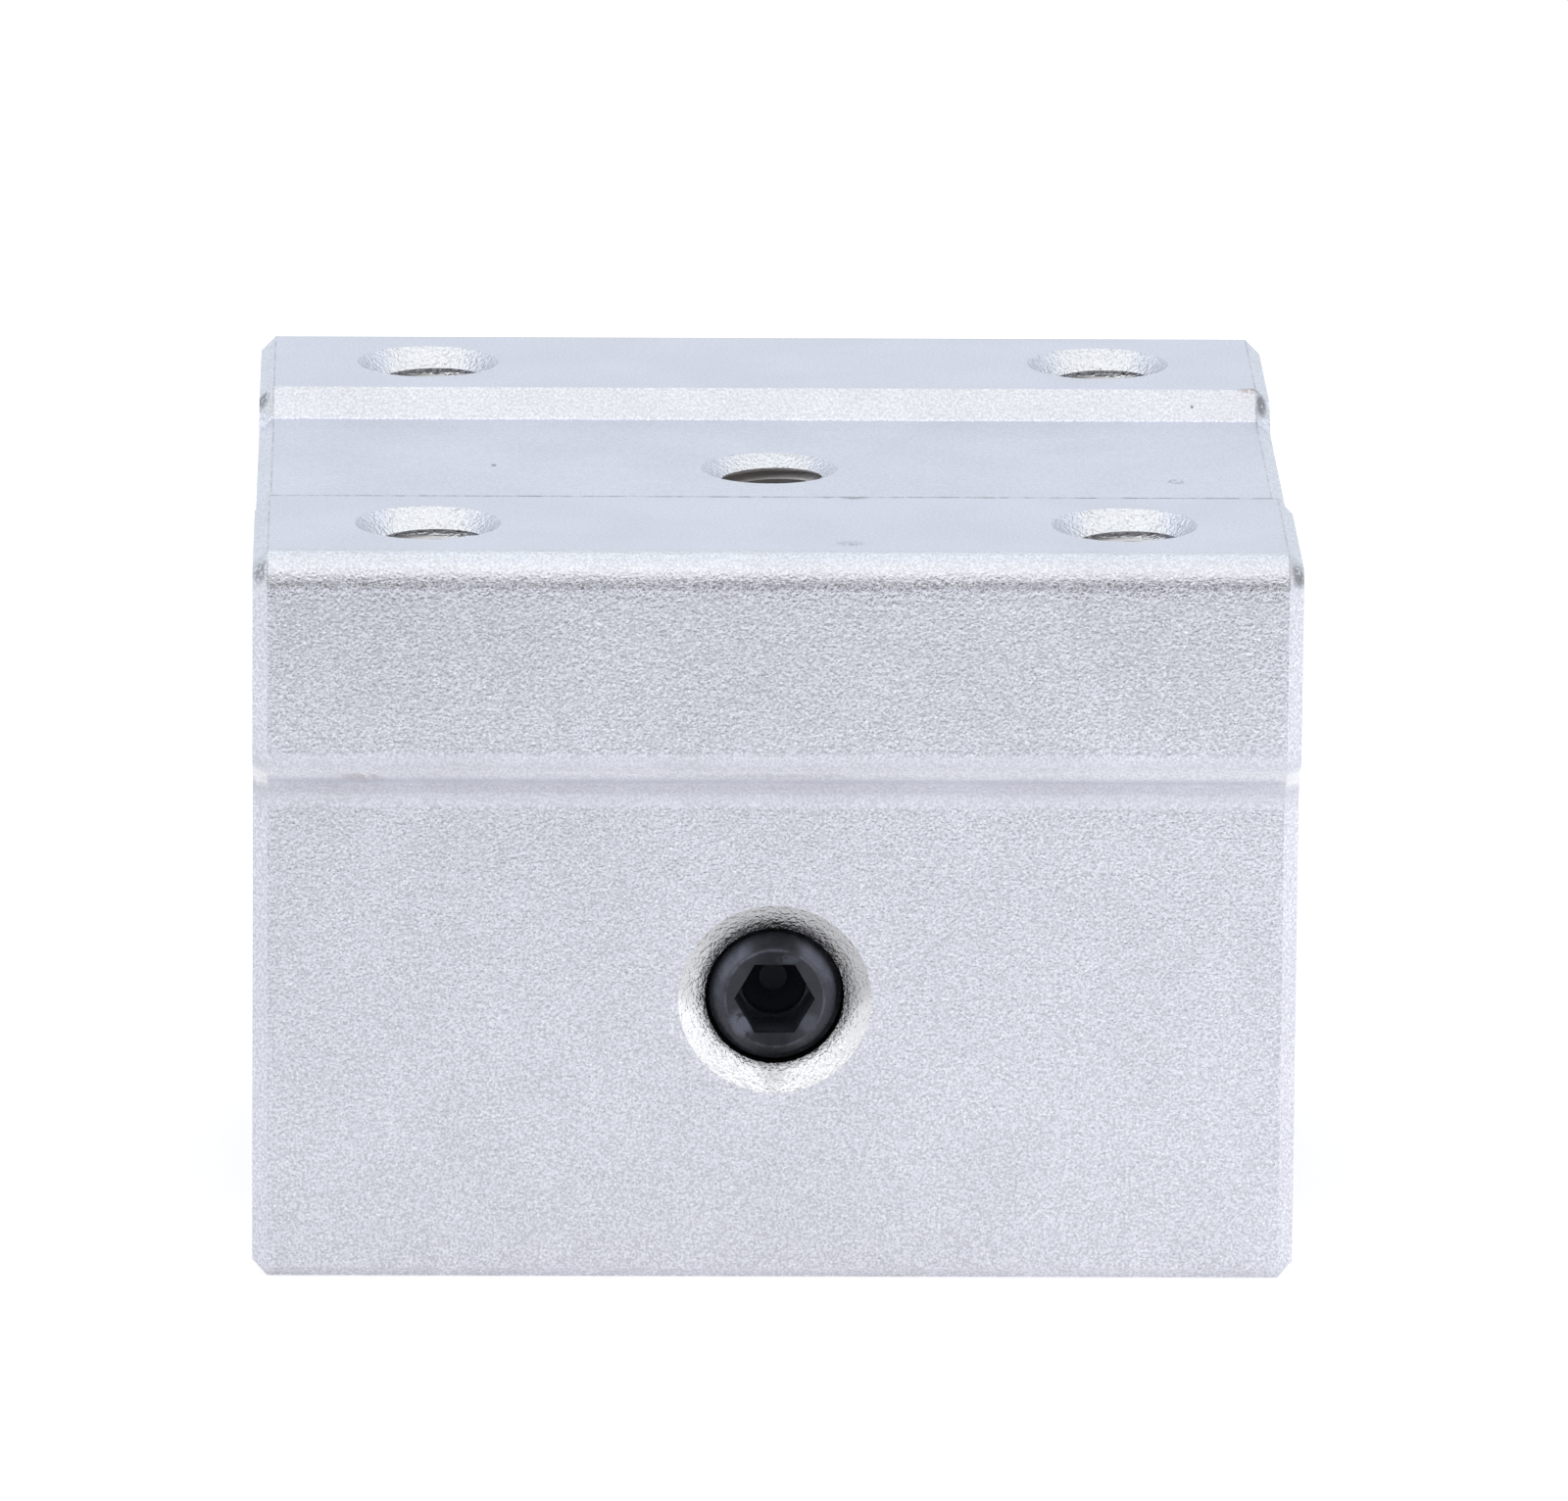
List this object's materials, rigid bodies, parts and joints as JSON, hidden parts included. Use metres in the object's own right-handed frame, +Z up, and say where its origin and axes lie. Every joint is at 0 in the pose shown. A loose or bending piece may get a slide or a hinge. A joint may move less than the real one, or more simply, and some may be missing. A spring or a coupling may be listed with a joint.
{
  "type": "linear bearing block",
  "caption": "Open linear ball bearing block with a flanged aluminium housing for a rail-supported shaft, tapped top pads and a side set screw.",
  "frame": {"origin": "on the shaft's axis, at the middle of the block's length", "axes": "+X along the shaft, +Z up towards the two mounting pads, -Y towards the side with the set screw"},
  "size_m": [0.045, 0.045, 0.0325],
  "materials": {
    "blasted_aluminium": "fine sandblasted, clear anodised",
    "black_steel": "black oxide, slightly worn",
    "sleeve_steel": "ground",
    "ball_steel": "polished",
    "ring_steel": "phosphated spring steel",
    "cage_resin": "moulded, satin",
    "seal_rubber": "moulded, matte"
  },
  "bodies": {
    "block": {"housing": "blasted_aluminium", "bearing_sleeve": "sleeve_steel", "ball_cage": "cage_resin", "left_snap_ring": "ring_steel", "right_snap_ring": "ring_steel", "left_cage_ring": "ring_steel", "right_cage_ring": "ring_steel", "left_seal": "seal_rubber", "right_seal": "seal_rubber"},
    "set_screw": {"set_screw": "black_steel"},
    "load_balls_lower_back": {"load_balls_lower_back": "ball_steel"},
    "return_balls_lower_back": {"return_balls_lower_back": "ball_steel"},
    "left_turn_balls_lower_back": {"left_turn_balls_lower_back": "ball_steel"},
    "right_turn_balls_lower_back": {"right_turn_balls_lower_back": "ball_steel"},
    "load_balls_upper_back": {"load_balls_upper_back": "ball_steel"},
    "return_balls_upper_back": {"return_balls_upper_back": "ball_steel"},
    "left_turn_balls_upper_back": {"left_turn_balls_upper_back": "ball_steel"},
    "right_turn_balls_upper_back": {"right_turn_balls_upper_back": "ball_steel"},
    "load_balls_upper_front": {"load_balls_upper_front": "ball_steel"},
    "return_balls_upper_front": {"return_balls_upper_front": "ball_steel"},
    "left_turn_balls_upper_front": {"left_turn_balls_upper_front": "ball_steel"},
    "right_turn_balls_upper_front": {"right_turn_balls_upper_front": "ball_steel"},
    "load_balls_lower_front": {"load_balls_lower_front": "ball_steel"},
    "return_balls_lower_front": {"return_balls_lower_front": "ball_steel"},
    "left_turn_balls_lower_front": {"left_turn_balls_lower_front": "ball_steel"},
    "right_turn_balls_lower_front": {"right_turn_balls_lower_front": "ball_steel"}
  },
  "joints": [
    {"name": "set_screw_advance", "type": "slide", "parent": "block", "child": "set_screw", "axis": [0, -1, 0], "range_m": [0, 0.003]},
    {"name": "load_balls_lower_back_roll", "type": "slide", "parent": "block", "child": "load_balls_lower_back", "axis": [1, 0, 0], "range_m": [-0.00148, 0.00148]},
    {"name": "return_balls_lower_back_roll", "type": "slide", "parent": "block", "child": "return_balls_lower_back", "axis": [1, 0, 0], "range_m": [-0.00148, 0.00148]},
    {"name": "left_turn_balls_lower_back_roll", "type": "hinge", "parent": "block", "child": "left_turn_balls_lower_back", "pos_m": [-0.00888, 0.00926, -0.00323], "axis": [0, 0.809, -0.5878], "range_deg": [-30, 30]},
    {"name": "right_turn_balls_lower_back_roll", "type": "hinge", "parent": "block", "child": "right_turn_balls_lower_back", "pos_m": [0.00888, 0.00926, -0.00323], "axis": [0, 0.809, -0.5878], "range_deg": [-30, 30]},
    {"name": "load_balls_upper_back_roll", "type": "slide", "parent": "block", "child": "load_balls_upper_back", "axis": [1, 0, 0], "range_m": [-0.00148, 0.00148]},
    {"name": "return_balls_upper_back_roll", "type": "slide", "parent": "block", "child": "return_balls_upper_back", "axis": [1, 0, 0], "range_m": [-0.00148, 0.00148]},
    {"name": "left_turn_balls_upper_back_roll", "type": "hinge", "parent": "block", "child": "left_turn_balls_upper_back", "pos_m": [-0.00888, 0.00593, 0.00781], "axis": [0, 0.809, 0.5878], "range_deg": [-30, 30]},
    {"name": "right_turn_balls_upper_back_roll", "type": "hinge", "parent": "block", "child": "right_turn_balls_upper_back", "pos_m": [0.00888, 0.00593, 0.00781], "axis": [0, 0.809, 0.5878], "range_deg": [-30, 30]},
    {"name": "load_balls_upper_front_roll", "type": "slide", "parent": "block", "child": "load_balls_upper_front", "axis": [1, 0, 0], "range_m": [-0.00148, 0.00148]},
    {"name": "return_balls_upper_front_roll", "type": "slide", "parent": "block", "child": "return_balls_upper_front", "axis": [1, 0, 0], "range_m": [-0.00148, 0.00148]},
    {"name": "left_turn_balls_upper_front_roll", "type": "hinge", "parent": "block", "child": "left_turn_balls_upper_front", "pos_m": [-0.00888, -0.00593, 0.00781], "axis": [0, -0.809, 0.5878], "range_deg": [-30, 30]},
    {"name": "right_turn_balls_upper_front_roll", "type": "hinge", "parent": "block", "child": "right_turn_balls_upper_front", "pos_m": [0.00888, -0.00593, 0.00781], "axis": [0, -0.809, 0.5878], "range_deg": [-30, 30]},
    {"name": "load_balls_lower_front_roll", "type": "slide", "parent": "block", "child": "load_balls_lower_front", "axis": [1, 0, 0], "range_m": [-0.00148, 0.00148]},
    {"name": "return_balls_lower_front_roll", "type": "slide", "parent": "block", "child": "return_balls_lower_front", "axis": [1, 0, 0], "range_m": [-0.00148, 0.00148]},
    {"name": "left_turn_balls_lower_front_roll", "type": "hinge", "parent": "block", "child": "left_turn_balls_lower_front", "pos_m": [-0.00888, -0.00926, -0.00323], "axis": [0, -0.809, -0.5878], "range_deg": [-30, 30]},
    {"name": "right_turn_balls_lower_front_roll", "type": "hinge", "parent": "block", "child": "right_turn_balls_lower_front", "pos_m": [0.00888, -0.00926, -0.00323], "axis": [0, -0.809, -0.5878], "range_deg": [-30, 30]}
  ],
  "couplings": [
    {"joint": "load_balls_lower_back_roll", "follows": "load_balls_upper_front_roll", "ratio": 1},
    {"joint": "return_balls_lower_back_roll", "follows": "load_balls_upper_front_roll", "ratio": -1},
    {"joint": "left_turn_balls_lower_back_roll", "follows": "load_balls_upper_front_roll", "rad_per_m": -353.61},
    {"joint": "right_turn_balls_lower_back_roll", "follows": "load_balls_upper_front_roll", "rad_per_m": -353.61},
    {"joint": "load_balls_upper_back_roll", "follows": "load_balls_upper_front_roll", "ratio": 1},
    {"joint": "return_balls_upper_back_roll", "follows": "load_balls_upper_front_roll", "ratio": -1},
    {"joint": "left_turn_balls_upper_back_roll", "follows": "load_balls_upper_front_roll", "rad_per_m": -353.61},
    {"joint": "right_turn_balls_upper_back_roll", "follows": "load_balls_upper_front_roll", "rad_per_m": -353.61},
    {"joint": "return_balls_upper_front_roll", "follows": "load_balls_upper_front_roll", "ratio": -1},
    {"joint": "left_turn_balls_upper_front_roll", "follows": "load_balls_upper_front_roll", "rad_per_m": 353.61},
    {"joint": "right_turn_balls_upper_front_roll", "follows": "load_balls_upper_front_roll", "rad_per_m": 353.61},
    {"joint": "load_balls_lower_front_roll", "follows": "load_balls_upper_front_roll", "ratio": 1},
    {"joint": "return_balls_lower_front_roll", "follows": "load_balls_upper_front_roll", "ratio": -1},
    {"joint": "left_turn_balls_lower_front_roll", "follows": "load_balls_upper_front_roll", "rad_per_m": 353.61},
    {"joint": "right_turn_balls_lower_front_roll", "follows": "load_balls_upper_front_roll", "rad_per_m": 353.61}
  ]
}
